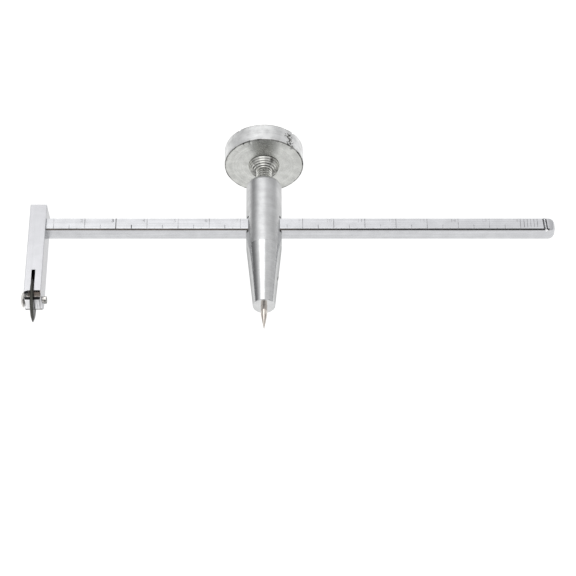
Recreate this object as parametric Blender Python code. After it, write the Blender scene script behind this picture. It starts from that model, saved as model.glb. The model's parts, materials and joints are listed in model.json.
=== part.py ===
"""Beam marking gauge that scribes and cuts circles: a graduated square beam, a forked arm with a
free-spinning cutting wheel, and a centre post that slides along the beam and is clamped by a knob.

Frame: metres. The tool lies on its back. +X runs along the beam, away from the cutting wheel. +Y runs
along the post's axis, from the centre pin towards the knob. +Z points up, out of the graduated face.
The world's origin is the centre of the bottom of the whole tool's bounding box.

All sizes below are in millimetres. Places are measured from the point where the beam's centre line
meets the post's axis. That point is the empty "tool_frame", and every other object hangs from it.
"""

import math

import bmesh
import bpy
from mathutils import Vector

MM = 0.001
INCH = 25.4

# Beam
BEAM_SIDE = 6.0
BEAM_CHAMFER = 0.35
BEAM_RIGHT = 118.4
BEAM_END_ROUND = 2.0
SETTING = 92.0  # from the post's axis to the cutting arm's middle
SCALE_PITCH = INCH / 2  # the scale reads diameters, so one inch on it is half an inch of beam
SCALE_MARKS = 16
SCALE_OFFSET = 6.6  # the scale is read at the post's left edge, just short of its radius
GROOVE_WIDTH, GROOVE_DEPTH = 0.30, 0.15
HALF_MARK_HEIGHT = 2.6
STOP_X, STOP_WIDTH, STOP_HEIGHT, STOP_SLANT = 114.3, 0.9, 0.5, math.radians(-7)

# Cutting arm: a bar across the beam's end, forked at its lower end
ARM_LEFT, ARM_RIGHT_FRONT, ARM_RIGHT_BACK = -95.3, -88.5, -87.75
ARM_DEPTH = 9.7
ARM_TOP, ARM_BOTTOM = 8.85, -38.6
ARM_EDGE = 0.25
FORK_CHAMFER = 2.5
FORK_BACK_ROUND = 1.4
SLOT_WIDTH, SLOT_TOP = 1.5, -25.4
SOCKET_DEPTH = 5.2
CROSS_PIN_RADIUS, CROSS_PIN_IN_BEAM = 1.0, 4.0

# Cutting wheel and its axle
AXLE_Y, AXLE_Z = -36.2, -1.0
WHEEL_X, WHEEL_RADIUS, WHEEL_THICKNESS, WHEEL_BEVEL = -92.0, 8.95, 1.3, 1.6
AXLE_RADIUS = 1.25
HEAD_RADIUS, HEAD_HEIGHT = 3.1, 1.1
PEEN_RADIUS, PEEN_HEIGHT = 1.5, 1.3

# Post
POST_RADIUS, POST_TOP, POST_TOP_ROUND = 7.25, 24.0, 3.0
TAPER_START, TAPER_END, NOSE_END = -10.0, -39.8, -40.3
NOSE_RADIUS, NOSE_ROUND = 4.5, 0.5

# Centre pin and the grub screw that holds it
PIN_RADIUS, PIN_TOP, PIN_CONE_START, PIN_TIP = 1.3, -23.0, -44.8, -51.6
PIN_TIP_RADIUS = 0.08
GRUB_Y, GRUB_RADIUS, GRUB_RECESS = -27.0, 1.5, 0.3
HEX_FLAT, HEX_DEPTH = 1.5, 1.5

# Clamp: threaded stud with a collar, knob, and the plug that presses on the beam
THREAD_RADIUS, THREAD_PITCH, THREAD_HEIGHT = INCH / 8, INCH / 20, 0.62
SCREW_TIP, SCREW_CHAMFER = 6.2, 0.7
COLLAR_RADIUS, COLLAR_THICKNESS = 6.45, 1.85
SPIGOT_RADIUS, SPIGOT_LENGTH = 2.5, 5.6
KNOB_RADIUS, KNOB_BOTTOM, KNOB_TOP, KNOB_EDGE = 16.4, 34.2, 42.5, 0.5
PLUG_RADIUS, PLUG_THICKNESS = 3.0, 2.6

# Gaps between neighbours
SLIDE_GAP, REST_GAP, RUNNING_GAP, SEAT_GAP = 0.30, 0.30, 0.10, 0.20

SIDES_ROUND, SIDES_SMALL = 64, 24

# The tool frame's place in the world follows from the tool's extreme faces.
HEAD_LEFT = ARM_LEFT - SEAT_GAP - HEAD_HEIGHT
TOOL_FRAME = (
    -(HEAD_LEFT + BEAM_RIGHT) / 2,
    -(PIN_TIP + KNOB_TOP) / 2,
    KNOB_RADIUS,
)
AXES = {"X": Vector((1, 0, 0)), "Y": Vector((0, 1, 0))}


def clear_scene():
    for obj in list(bpy.data.objects):
        bpy.data.objects.remove(obj)


def metal(name, color, roughness, metallic=1.0):
    material = bpy.data.materials.new(name)
    material.use_nodes = True
    shader = material.node_tree.nodes["Principled BSDF"]
    shader.inputs["Base Color"].default_value = (*color, 1.0)
    shader.inputs["Roughness"].default_value = roughness
    shader.inputs["Metallic"].default_value = metallic
    return material


def empty(name, place, parent=None):
    """A frame for what moves together. The place is relative to the parent, in millimetres."""
    frame = bpy.data.objects.new(name, None)
    frame.empty_display_size = 0.01
    frame.parent = parent
    frame.location = Vector(place) * (MM if parent else 1)
    bpy.context.collection.objects.link(frame)
    return frame


def finish(name, bm, parent, material=None, smooth_angle=30):
    """Makes an object from a bmesh in millimetres. Without a material it is a cutter."""
    bmesh.ops.scale(bm, vec=(MM, MM, MM), verts=bm.verts)
    bmesh.ops.recalc_face_normals(bm, faces=bm.faces)
    mesh = bpy.data.meshes.new(name)
    bm.to_mesh(mesh)
    bm.free()
    obj = bpy.data.objects.new(name, mesh)
    obj.parent = parent
    bpy.context.collection.objects.link(obj)
    if material is None:
        obj.hide_render = True
        obj.display_type = "WIRE"
    else:
        mesh.materials.append(material)
        mesh.shade_smooth()
        mesh.set_sharp_from_angle(angle=math.radians(smooth_angle))
    return obj


def combine(target, other, operation="DIFFERENCE"):
    modifier = target.modifiers.new(other.name, "BOOLEAN")
    modifier.operation = operation
    modifier.object = other


def turned(profile, axis, sides):
    """A solid of revolution about a local axis. The profile's points are (place along it, radius)."""
    along = AXES[axis]
    across = Vector((0, 0, 1))
    bm = bmesh.new()
    points = [bm.verts.new(along * place + across * radius) for place, radius in profile]
    edges = [bm.edges.new(pair) for pair in zip(points, points[1:])]
    bmesh.ops.spin(
        bm, geom=points + edges, cent=(0, 0, 0), axis=along, angle=math.tau, steps=sides
    )
    bmesh.ops.remove_doubles(bm, verts=bm.verts, dist=1e-4)
    return bm


def arc(centre, radius, start, end, steps):
    """Points on an arc in the profile's plane, from one angle to another, in degrees."""
    angles = [math.radians(start + (end - start) * i / steps) for i in range(steps + 1)]
    return [
        (centre[0] + radius * math.cos(angle), centre[1] + radius * math.sin(angle))
        for angle in angles
    ]


def block(low, high):
    bm = bmesh.new()
    bmesh.ops.create_cube(bm, size=1)
    size = Vector(high) - Vector(low)
    bmesh.ops.scale(bm, vec=size, verts=bm.verts)
    bmesh.ops.translate(bm, vec=(Vector(low) + Vector(high)) / 2, verts=bm.verts)
    return bm


def bore(name, start, end, radius, axis, parent, offset=(0, 0, 0)):
    bm = turned([(start, 0), (start, radius), (end, radius), (end, 0)], axis, SIDES_SMALL)
    bmesh.ops.translate(bm, vec=offset, verts=bm.verts)
    return finish(name, bm, parent)


def lofted(sections):
    """Joins rings of points, which all have the same count, and closes both ends."""
    bm = bmesh.new()
    rings = [[bm.verts.new(point) for point in section] for section in sections]
    count = len(rings[0])
    for ring, following in zip(rings, rings[1:]):
        for i in range(count):
            j = (i + 1) % count
            bm.faces.new((ring[i], ring[j], following[j], following[i]))
    bm.faces.new(rings[0])
    bm.faces.new(rings[-1])
    return bm


def beam_section(x, inset):
    """The square with cut corners at one place along the beam, pulled in by an inset."""
    half = BEAM_SIDE / 2 - inset
    flat = half * (1 - 2 * BEAM_CHAMFER / BEAM_SIDE)
    corners = []
    for turn in range(4):
        c, s = round(math.cos(turn * math.pi / 2)), round(math.sin(turn * math.pi / 2))
        for a, b in ((half, -flat), (half, flat)):
            corners.append((x, a * c - b * s, a * s + b * c))
    return corners


def scale_x(mark):
    """Where a numbered mark crosses the beam."""
    return -SETTING + mark * SCALE_PITCH - SCALE_OFFSET


def scale_cutter(parent):
    bm = bmesh.new()
    face = BEAM_SIDE / 2
    for mark in range(1, SCALE_MARKS + 1):
        for x, top in (
            (scale_x(mark), face + 1),
            (scale_x(mark - 0.5), HALF_MARK_HEIGHT - face),
        ):
            low = Vector((x - GROOVE_WIDTH / 2, -face - 1, face - GROOVE_DEPTH))
            high = Vector((x + GROOVE_WIDTH / 2, top, face + 1))
            made = bmesh.ops.create_cube(bm, size=1)["verts"]
            bmesh.ops.scale(bm, vec=high - low, verts=made)
            bmesh.ops.translate(bm, vec=(low + high) / 2, verts=made)
    return finish("scale_cutter", bm, parent)


def end_stop(parent):
    """The ridge staked up across the graduated face, which keeps the post on the beam."""
    face = BEAM_SIDE / 2
    lean = math.tan(STOP_SLANT)
    sections = []
    for y in (-face + BEAM_CHAMFER, face - BEAM_CHAMFER):
        middle = STOP_X + y * lean
        low, high = middle - STOP_WIDTH / 2, middle + STOP_WIDTH / 2
        root = [(low, y, face - 1), (high, y, face - 1)]
        crest = [(high, y, face), (middle, y, face + STOP_HEIGHT), (low, y, face)]
        sections.append(root + crest)
    return finish("end_stop_ridge", lofted(sections), parent)


def make_beam(parent, material):
    left = ARM_RIGHT_FRONT - SOCKET_DEPTH + REST_GAP
    start = BEAM_RIGHT - BEAM_END_ROUND
    sections = [beam_section(left, 0)]
    for step in range(0, 91, 30):
        angle = math.radians(step)
        sections.append(
            beam_section(
                start + BEAM_END_ROUND * math.sin(angle), BEAM_END_ROUND * (1 - math.cos(angle))
            )
        )
    beam = finish("beam", lofted(sections), parent, material)
    combine(beam, end_stop(parent), "UNION")
    combine(beam, scale_cutter(parent))
    combine(beam, cross_pin_bore("beam_pin_cutter", parent))


def cross_pin_bore(name, parent):
    """The blind hole for the cross pin, drilled from the arm's hidden back into the beam."""
    bm = bmesh.new()
    depth = ARM_DEPTH / 2 + 1 + CROSS_PIN_IN_BEAM - BEAM_SIDE / 2
    bmesh.ops.create_cone(
        bm,
        cap_ends=True,
        segments=SIDES_SMALL,
        radius1=CROSS_PIN_RADIUS + RUNNING_GAP,
        radius2=CROSS_PIN_RADIUS + RUNNING_GAP,
        depth=depth,
    )
    bmesh.ops.translate(bm, vec=(cross_pin_x(), 0, -ARM_DEPTH / 2 - 1 + depth / 2), verts=bm.verts)
    return finish(name, bm, parent)


def cross_pin_x():
    """The cross pin goes through the middle of the socket."""
    return ARM_RIGHT_FRONT - SOCKET_DEPTH / 2


def make_cross_pin(parent, material):
    length = ARM_DEPTH / 2 - BEAM_SIDE / 2 + CROSS_PIN_IN_BEAM - REST_GAP - ARM_EDGE
    bm = bmesh.new()
    bmesh.ops.create_cone(
        bm,
        cap_ends=True,
        segments=SIDES_SMALL,
        radius1=CROSS_PIN_RADIUS,
        radius2=CROSS_PIN_RADIUS,
        depth=length,
    )
    bottom = -ARM_DEPTH / 2 + ARM_EDGE
    bmesh.ops.translate(bm, vec=(cross_pin_x(), 0, bottom + length / 2), verts=bm.verts)
    finish("arm_cross_pin", bm, parent, material)


def arm_outline():
    """The arm seen from its side, as (y, z): straight, with a chamfer in front at the fork's end."""
    front, back = ARM_DEPTH / 2, -ARM_DEPTH / 2
    corner = (ARM_BOTTOM + FORK_BACK_ROUND, back + FORK_BACK_ROUND)
    return [
        (ARM_TOP, back),
        (ARM_TOP, front),
        (ARM_BOTTOM + FORK_CHAMFER, front),
        (ARM_BOTTOM, front - FORK_CHAMFER),
        *arc(corner, FORK_BACK_ROUND, 180, 270, 4),
    ]


def arm_right(z):
    """The inner side leans outwards towards the back."""
    share = (ARM_DEPTH / 2 - z) / ARM_DEPTH
    return ARM_RIGHT_FRONT + share * (ARM_RIGHT_BACK - ARM_RIGHT_FRONT)


def make_arm(parent, material):
    outline = arm_outline()
    bm = lofted(
        [
            [(ARM_LEFT, y, z) for y, z in outline],
            [(arm_right(z), y, z) for y, z in outline],
        ]
    )
    arm = finish("cutter_arm", bm, parent, material)
    bevel = arm.modifiers.new("edges", "BEVEL")
    bevel.width = ARM_EDGE * MM
    bevel.segments = 2
    bevel.limit_method = "ANGLE"
    bevel.angle_limit = math.radians(50)

    half = SLOT_WIDTH / 2
    slot = block((WHEEL_X - half, ARM_BOTTOM - 2, -ARM_DEPTH), (WHEEL_X + half, SLOT_TOP, ARM_DEPTH))
    combine(arm, finish("slot_cutter", slot, parent))

    half = BEAM_SIDE / 2 + REST_GAP
    socket = block(
        (ARM_RIGHT_FRONT - SOCKET_DEPTH, -half, -half), (ARM_RIGHT_BACK + 2, half, half)
    )
    combine(arm, finish("socket_cutter", socket, parent))
    combine(arm, cross_pin_bore("arm_pin_cutter", parent))
    hole = bore(
        "axle_hole_cutter",
        ARM_LEFT - 2,
        ARM_RIGHT_BACK + 2,
        AXLE_RADIUS + RUNNING_GAP,
        "X",
        parent,
        (0, AXLE_Y, AXLE_Z),
    )
    combine(arm, hole)


def make_axle(frame, material):
    """A rivet: domed head outside the arm's left face, shank, and peened end at its right."""
    face_left = ARM_LEFT - SEAT_GAP - WHEEL_X
    face_right = arm_right(AXLE_Z - PEEN_RADIUS) + SEAT_GAP - WHEEL_X
    sphere = (HEAD_RADIUS**2 + HEAD_HEIGHT**2) / (2 * HEAD_HEIGHT)
    spread = math.degrees(math.asin(HEAD_RADIUS / sphere))
    head = arc((face_left - HEAD_HEIGHT + sphere, 0), sphere, 180, 180 - spread, 5)
    peen = [
        (face_right, PEEN_RADIUS),
        (face_right + PEEN_HEIGHT * 0.45, PEEN_RADIUS * 0.97),
        (face_right + PEEN_HEIGHT * 0.8, PEEN_RADIUS * 0.75),
        (face_right + PEEN_HEIGHT, PEEN_RADIUS * 0.35),
        (face_right + PEEN_HEIGHT, 0),
    ]
    profile = [*head, (face_left, AXLE_RADIUS), (face_right, AXLE_RADIUS), *peen]
    profile[0] = (profile[0][0], 0)
    finish("wheel_axle", turned(profile, "X", SIDES_SMALL), frame, material)


def make_wheel(frame, material):
    half, edge, bore_radius = WHEEL_THICKNESS / 2, 0.03, AXLE_RADIUS + RUNNING_GAP
    flat = WHEEL_RADIUS - WHEEL_BEVEL
    profile = [(-half, bore_radius), (-half, flat), (-edge, WHEEL_RADIUS), (edge, WHEEL_RADIUS)]
    profile += [(half, flat), (half, bore_radius), (-half, bore_radius)]
    finish("cutting_wheel", turned(profile, "X", SIDES_ROUND), frame, material)


def post_radius(y):
    """The post's radius on its tapered part."""
    share = (TAPER_START - y) / (TAPER_START - TAPER_END)
    return POST_RADIUS + share * (NOSE_RADIUS - POST_RADIUS)


def make_post(frame, material):
    nose = (NOSE_END + NOSE_ROUND, NOSE_RADIUS - NOSE_ROUND)
    shoulder = (POST_TOP - POST_TOP_ROUND, POST_RADIUS - POST_TOP_ROUND)
    profile = [
        (NOSE_END, 0),
        *arc(nose, NOSE_ROUND, 180, 90, 3),
        (TAPER_START, POST_RADIUS),
        *arc(shoulder, POST_TOP_ROUND, 90, 0, 6),
        (POST_TOP, 0),
    ]
    post = finish("post", turned(profile, "Y", SIDES_ROUND), frame, material)
    half = BEAM_SIDE / 2 + SLIDE_GAP
    reach = POST_RADIUS + 2
    window = block((-reach, -half, -half), (reach, half, half))
    combine(post, finish("window_cutter", window, frame))
    thread_bore = THREAD_RADIUS + RUNNING_GAP
    combine(post, bore("thread_cutter", 0, POST_TOP + 2, thread_bore, "Y", frame))
    pin_hole = PIN_RADIUS + RUNNING_GAP
    combine(post, bore("pin_cutter", NOSE_END - 2, PIN_TOP + SEAT_GAP, pin_hole, "Y", frame))
    grub_hole = GRUB_RADIUS + RUNNING_GAP
    combine(post, bore("grub_cutter", 0, POST_RADIUS + 1, grub_hole, "X", frame, (0, GRUB_Y, 0)))


def make_pin(frame, material):
    profile = [
        (PIN_TIP, 0),
        (PIN_TIP, PIN_TIP_RADIUS),
        (PIN_CONE_START, PIN_RADIUS),
        (PIN_TOP, PIN_RADIUS),
        (PIN_TOP, 0),
    ]
    finish("centre_pin", turned(profile, "Y", SIDES_SMALL), frame, material)


def make_grub_screw(frame, material):
    """Headless screw with a hexagonal socket, its point just off the centre pin."""
    outer = post_radius(GRUB_Y) - GRUB_RECESS
    inner = PIN_RADIUS + SEAT_GAP
    profile = [(inner, 0), (inner, GRUB_RADIUS - 0.4), (inner + 0.4, GRUB_RADIUS)]
    profile += [(outer, GRUB_RADIUS), (outer, 0)]
    bm = turned(profile, "X", SIDES_SMALL)
    bmesh.ops.translate(bm, vec=(0, GRUB_Y, 0), verts=bm.verts)
    screw = finish("pin_set_screw", bm, frame, material)
    key, floor = HEX_FLAT / math.sqrt(3), outer - HEX_DEPTH
    bm = turned([(floor, 0), (floor, key), (outer + 1, key), (outer + 1, 0)], "X", 6)
    bmesh.ops.translate(bm, vec=(0, GRUB_Y, 0), verts=bm.verts)
    combine(screw, finish("hex_cutter", bm, frame))


def thread_radius(y, angle, start, end):
    """A right-hand thread: a trapezoid wave that climbs one pitch a turn and fades at its ends."""
    phase = (y / THREAD_PITCH - angle / math.tau) % 1
    wave = min(1.0, max(0.0, 2.0 * (1 - abs(2 * phase - 1)) - 0.5))
    fade = min(1.0, (y - start) / THREAD_PITCH, (end - y) / THREAD_PITCH)
    return THREAD_RADIUS - THREAD_HEIGHT * (1 - wave * max(0.0, fade))


def ring(y, radius_at, sides):
    angles = [math.tau * i / sides for i in range(sides)]
    return [(radius_at(a) * math.sin(a), y, radius_at(a) * math.cos(a)) for a in angles]


def make_clamp_screw(frame, material):
    """Stud with a thread, a collar under the knob, and the spigot that the knob is pressed on."""
    collar_top = KNOB_BOTTOM - SEAT_GAP
    collar_bottom = collar_top - COLLAR_THICKNESS
    root = THREAD_RADIUS - THREAD_HEIGHT
    rings_a_pitch = 5
    start = SCREW_TIP + SCREW_CHAMFER
    count = round((collar_bottom - start) / THREAD_PITCH * rings_a_pitch)
    sections = [ring(SCREW_TIP, lambda angle: root - SCREW_CHAMFER / 2, SIDES_SMALL)]
    for i in range(count + 1):
        y = start + (collar_bottom - start) * i / count
        sections.append(
            ring(y, lambda angle, y=y: thread_radius(y, angle, start, collar_bottom), SIDES_SMALL)
        )
    for y, radius in (
        (collar_bottom, COLLAR_RADIUS - 0.4),
        (collar_bottom + 0.4, COLLAR_RADIUS),
        (collar_top - 0.4, COLLAR_RADIUS),
        (collar_top, COLLAR_RADIUS - 0.4),
        (collar_top, SPIGOT_RADIUS),
        (collar_top + SPIGOT_LENGTH, SPIGOT_RADIUS),
    ):
        sections.append(ring(y, lambda angle, radius=radius: radius, SIDES_SMALL))
    finish("clamp_screw", lofted(sections), frame, material)


def make_knob(frame, material):
    bottom = (KNOB_BOTTOM + KNOB_EDGE, KNOB_RADIUS - KNOB_EDGE)
    top = (KNOB_TOP - KNOB_EDGE, KNOB_RADIUS - KNOB_EDGE)
    profile = [
        (KNOB_BOTTOM, 0),
        *arc(bottom, KNOB_EDGE, 180, 90, 2),
        *arc(top, KNOB_EDGE, 90, 0, 2),
        (KNOB_TOP, 0),
    ]
    knob = finish("knob", turned(profile, "Y", SIDES_ROUND), frame, material)
    bore_end = KNOB_BOTTOM - SEAT_GAP + SPIGOT_LENGTH + REST_GAP
    bore_radius = SPIGOT_RADIUS + RUNNING_GAP
    combine(knob, bore("spigot_cutter", KNOB_BOTTOM - 1, bore_end, bore_radius, "Y", frame))


def make_plug(frame, material):
    bottom = BEAM_SIDE / 2 + REST_GAP
    top = bottom + PLUG_THICKNESS
    profile = [(bottom, 0), (bottom, PLUG_RADIUS), (top, PLUG_RADIUS), (top, 0)]
    finish("pressure_plug", turned(profile, "Y", SIDES_SMALL), frame, material)


def main():
    clear_scene()
    plated_steel = metal("plated_steel", (0.74, 0.75, 0.77), 0.32)
    satin_steel = metal("satin_steel", (0.80, 0.80, 0.82), 0.38)
    turned_metal = metal("turned_aluminium", (0.70, 0.71, 0.71), 0.30)
    screw_steel = metal("screw_steel", (0.68, 0.69, 0.67), 0.25)
    dark_steel = metal("hardened_steel", (0.16, 0.155, 0.15), 0.34)
    polished = metal("polished_steel", (0.66, 0.63, 0.59), 0.15)
    brass = metal("brass", (0.72, 0.54, 0.24), 0.35)

    tool = empty("tool_frame", Vector(TOOL_FRAME) * MM)
    axle = empty("wheel_spin_axis", (WHEEL_X, AXLE_Y, AXLE_Z), tool)
    slide = empty("post_slide_axis", (0, 0, 0), tool)
    plug = empty("plug_slide_axis", (0, 0, 0), slide)
    turn = empty("knob_turn_axis", (0, 0, 0), plug)

    make_beam(tool, plated_steel)
    make_arm(tool, satin_steel)
    make_cross_pin(tool, polished)
    make_axle(axle, polished)
    make_wheel(axle, dark_steel)
    make_post(slide, turned_metal)
    make_pin(slide, polished)
    make_grub_screw(slide, dark_steel)
    make_plug(plug, brass)
    make_clamp_screw(turn, screw_steel)
    make_knob(turn, turned_metal)


main()
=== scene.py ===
"""Looks for the beam marking gauge: fine meshes, procedural metals, studio light and the camera.

Sizes are in millimetres, measured from the crossing, the point where the beam's centre line meets the
post's axis. +X runs along the beam away from the wheel, +Y along the post to the knob, and +Z out of
the graduated face. The main sizes come from the CAD nodes' boxes.
"""

import json
import math
import random

import bmesh
import bpy
from mathutils import Matrix, Vector

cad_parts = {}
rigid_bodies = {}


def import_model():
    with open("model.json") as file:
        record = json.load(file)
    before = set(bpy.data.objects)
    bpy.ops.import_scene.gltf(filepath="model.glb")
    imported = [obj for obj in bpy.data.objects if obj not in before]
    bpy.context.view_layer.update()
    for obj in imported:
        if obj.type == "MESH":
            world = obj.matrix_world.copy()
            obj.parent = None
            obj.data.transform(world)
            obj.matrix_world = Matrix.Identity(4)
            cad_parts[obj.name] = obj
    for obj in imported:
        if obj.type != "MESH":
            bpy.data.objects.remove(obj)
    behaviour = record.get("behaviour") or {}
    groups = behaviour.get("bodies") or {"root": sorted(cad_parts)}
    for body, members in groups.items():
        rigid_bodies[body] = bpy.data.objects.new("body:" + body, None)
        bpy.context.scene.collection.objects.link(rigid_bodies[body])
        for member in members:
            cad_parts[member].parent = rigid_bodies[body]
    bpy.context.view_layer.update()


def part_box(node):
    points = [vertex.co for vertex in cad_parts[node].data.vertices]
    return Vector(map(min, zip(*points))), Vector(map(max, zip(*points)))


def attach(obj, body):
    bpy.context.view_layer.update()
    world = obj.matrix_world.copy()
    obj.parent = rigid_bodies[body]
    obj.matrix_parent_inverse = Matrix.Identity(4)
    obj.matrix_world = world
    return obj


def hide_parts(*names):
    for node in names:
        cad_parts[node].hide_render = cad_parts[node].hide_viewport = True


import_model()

MM = 0.001
INCH = 25.4
AXES = {"X": Vector((1, 0, 0)), "Y": Vector((0, 1, 0)), "Z": Vector((0, 0, 1))}


def find_crossing():
    """Where the beam's centre line meets the post's axis, in metres."""
    post_low, post_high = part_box("post")
    beam_low, beam_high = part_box("beam")
    middle = (post_low + post_high) / 2
    return Vector((middle.x, (beam_low.y + beam_high.y) / 2, middle.z))


CROSSING = find_crossing()


def node_box(node):
    """A CAD node's lowest and highest corners, in millimetres from the crossing."""
    low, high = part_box(node)
    return (low - CROSSING) / MM, (high - CROSSING) / MM


BEAM_LOW, BEAM_HIGH = node_box("beam")
ARM_LOW, ARM_HIGH = node_box("cutter_arm")
WHEEL_LOW, WHEEL_HIGH = node_box("cutting_wheel")
AXLE_LOW, AXLE_HIGH = node_box("wheel_axle")
POST_LOW, POST_HIGH = node_box("post")
PIN_LOW, PIN_HIGH = node_box("centre_pin")
GRUB_LOW, GRUB_HIGH = node_box("pin_set_screw")
SCREW_LOW, SCREW_HIGH = node_box("clamp_screw")
KNOB_LOW, KNOB_HIGH = node_box("knob")
CROSS_PIN_LOW, CROSS_PIN_HIGH = node_box("arm_cross_pin")
PLUG_LOW, PLUG_HIGH = node_box("pressure_plug")

# Beam and scale
BEAM_SIDE = BEAM_HIGH.y - BEAM_LOW.y
BEAM_FACE = BEAM_SIDE / 2
BEAM_CHAMFER, FRONT_EDGE_CHAMFER = 0.18, 0.60
FRONT_EDGE_TURN = 1  # the front edge's place among the section's four quarter turns
EDGE_SOFT, EDGE_DROP = 0.36, 0.06  # the drawn faces fall away a little before the chamfer
BEAM_END_LENGTH, BEAM_END_INSET = 2.7, 2.2
WHEEL_X = (WHEEL_LOW.x + WHEEL_HIGH.x) / 2
SCALE_PITCH = 12.65  # half an inch, stamped a hair short
SCALE_MARKS = 16
SCALE_OFFSET = 6.14
DARK_MARKS = (3, 3.5)  # dark dirt fills these two
MARK_WIDTH, MARK_DEPTH = 0.24, 0.13
HALF_MARK_HEIGHT, QUARTER_MARK_HEIGHT = 2.5, 0.9
NUMERAL_HEIGHT, NUMERAL_DEPTH, FONT_SIZE_TO_HEIGHT = 1.75, 0.04, 1.38
NUMERAL_GAP, FIRST_NUMERAL_GAP, NUMERAL_TOP_GAP = 0.75, 1.6, 0.35
STROKES, STROKE_PITCH, STROKE_WIDTH = 5, 1.35, 0.24
STOP_X, STOP_WIDTH, STOP_HEIGHT, STOP_SLANT = 114.3, 0.9, 0.45, math.radians(-4)
STOP_STEPS, LUMP_RADIUS = 14, 0.5
CHISEL_GAP, CHISEL_WIDTH, CHISEL_DEPTH = 0.18, 0.4, 0.3

# Arm
ARM_FRONT, ARM_BACK = ARM_HIGH.z, ARM_LOW.z
ARM_RIGHT_FRONT = -88.5
ARM_EDGE = 0.25
FORK_CHAMFER, FORK_BACK_ROUND = 2.7, 0.8
FORK_SHADE_LINE = ARM_BACK + 1.15  # the fork's end has painted shade behind this
# painted shadow darkens the chamfer's foot, painted dark reflection the top and middle of its dip
PAINTED_DARK_SHARE, PAINTED_DARK_TOP_SHARE = 0.7, 0.3  # the chamfer is black below the first, its dip above the second
FORK_BULGE, CHAMFER_STEPS = 0.14, 10  # filed by hand, so a little round
DIP_DROP, DIP_DEPTHS = 0.9, (1.2, 1.7, 2.2, 2.6)  # the chamfer's left part lies lower
FORK_CORNER_LEFT, FORK_CORNER_RIGHT = 0.7, 1.5
ARM_FINISHES = ("arm", "filed", "black_steel_and_shade", "fork_end", "edge")
TIGHT_GAP = 0.03
SLOT_WIDTH, SLOT_TOP = 1.5, -25.4
SOCKET_DEPTH = 5.2

# Wheel and axle
AXLE_HOLE, WHEEL_BEVEL, WHEEL_EDGE = 1.35, 1.6, 0.03
SHANK_RADIUS, PEENED_RADIUS = 1.25, 1.65
PEENED_DARK_BELOW, PEENED_RIM = 1.15, 0.3  # the end is dark below the first, and in the second next to it

# Post, pin and grub screw
POST_RADIUS = POST_HIGH.x
SHOULDER_ROUND, TAPER_ROUND = 3.0, 22.0
TAPER_START, TAPER_END, NOSE_RADIUS, NOSE_ROUND = -10.0, -39.8, 4.5, 0.45
FINE_FINISH_START = -11.4  # the finer cut begins a little below the taper's start
RELIEF_RADIUS, RELIEF_PLACES = 0.7, (-3.7, 3.3)  # drilled corners of the square window
PIN_RADIUS = PIN_HIGH.x
PIN_CONE_START, PIN_TIP_RADIUS = -44.8, 0.08
GRUB_Y = (GRUB_LOW.y + GRUB_HIGH.y) / 2
GRUB_RADIUS = GRUB_HIGH.z
GRUB_PITCH, GRUB_THREAD_HEIGHT, GRUB_RINGS = 0.5, 0.2, 60
HEX_WIDTH, HEX_DEPTH = 1.5, 1.5

# Screw and knob
THREAD_RADIUS, THREAD_PITCH, THREAD_HEIGHT = INCH / 8, INCH / 20, 0.62
THREAD_START = SCREW_LOW.y + 0.7
RINGS_A_PITCH = 16
COLLAR_RADIUS, COLLAR_THICKNESS, SPIGOT_RADIUS = SCREW_HIGH.x, 1.85, 2.5
HUB_PROFILE = (  # rise from the collar's underside, radius, whether the next stretch is painted with shade
    (-1.65, 3.3, False),
    (-1.2, 3.55, True),
    (-1.2, 4.15, False),
    (-0.6, 4.45, True),
    (-0.6, 5.05, False),
    (0.0, 5.35, True),
    (0.0, 5.75, False),
    (0.75, 6.05, True),
    (0.75, 5.85, True),
    (0.95, 5.85, True),
    (0.95, 6.13, False),
)
KNOB_RADIUS = KNOB_HIGH.x
KNOB_EDGE, KNOB_BORE = 0.4, 2.6
KNOB_SIDES, KNOB_FACE_RINGS, KNOB_RIM_RINGS = 512, 12, 40
KNOB_EDGE_INSETS = (0.6, 0.45, 0.3, 0.15)  # extra rings of the face next to its edge
DARK_KNOCK_DEPTH = 0.07  # knocks deeper than this are coloured dark
SEAT_GAP, RUNNING_GAP, SLIDE_GAP = 0.2, 0.1, 0.3

# Materials: noise in cycles per metre, depth in millimetres
CLOUD_SCALE, SPOT_SCALE, DOT_SCALE = 260.0, 900.0, 2600.0
DOT_DEPTH = 0.002
GRAIN_SQUEEZE = 0.985  # how much of its scale the noise loses along the grain
GRAIN_DRIFT = 0.012  # how fast turned grain changes across the axis
ALUMINIUM, POLISHED = (0.60, 0.605, 0.605), (0.66, 0.61, 0.56)

# Camera and light, in metres
CAMERA_DISTANCE = 0.97
CAMERA_TILT, CAMERA_LIFT = math.radians(40), math.radians(1.42972)
LENS_LENGTH, SENSOR_WIDTH, SHIFT_X = 148.75, 36.0, 1 / 24
LIGHT_PLACE, LIGHT_SIZE, LIGHT_STRENGTH = Vector((-0.16, 0.095, 0.60)), (0.42, 0.70), 2.2
FLOOR_RADIUS, FLOOR_GLOW = 4.0, 0.94
ROOM_LEVEL, ROOM_ABOVE = (0.70, 0.70, 0.71), (0.84, 0.84, 0.85)
MIRRORED_AREAS = (  # direction, half angle of the core, half angle of the outer edge, colour
    ((-0.20, 0.62, 0.74), 12, 28, (1.26, 1.26, 1.27)),
    ((-0.86, 0.51, -0.05), 9, 46, (0.21, 0.21, 0.215)),
    ((0.78, 0.60, 0.05), 3, 13, (0.75, 0.75, 0.76)),
    ((0.82, 0.14, 0.55), 12, 17, (0.06, 0.058, 0.055)),
    ((0.05, -0.73, 0.68), 9, 14, (0.085, 0.085, 0.085)),
    ((-0.10, -0.64, 0.76), 7, 9, (0.012, 0.012, 0.012)),
    ((-0.10, -0.755, 0.65), 5, 8, (0.235, 0.21, 0.19)),
)


# ---------------------------------------------------------------- materials


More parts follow.
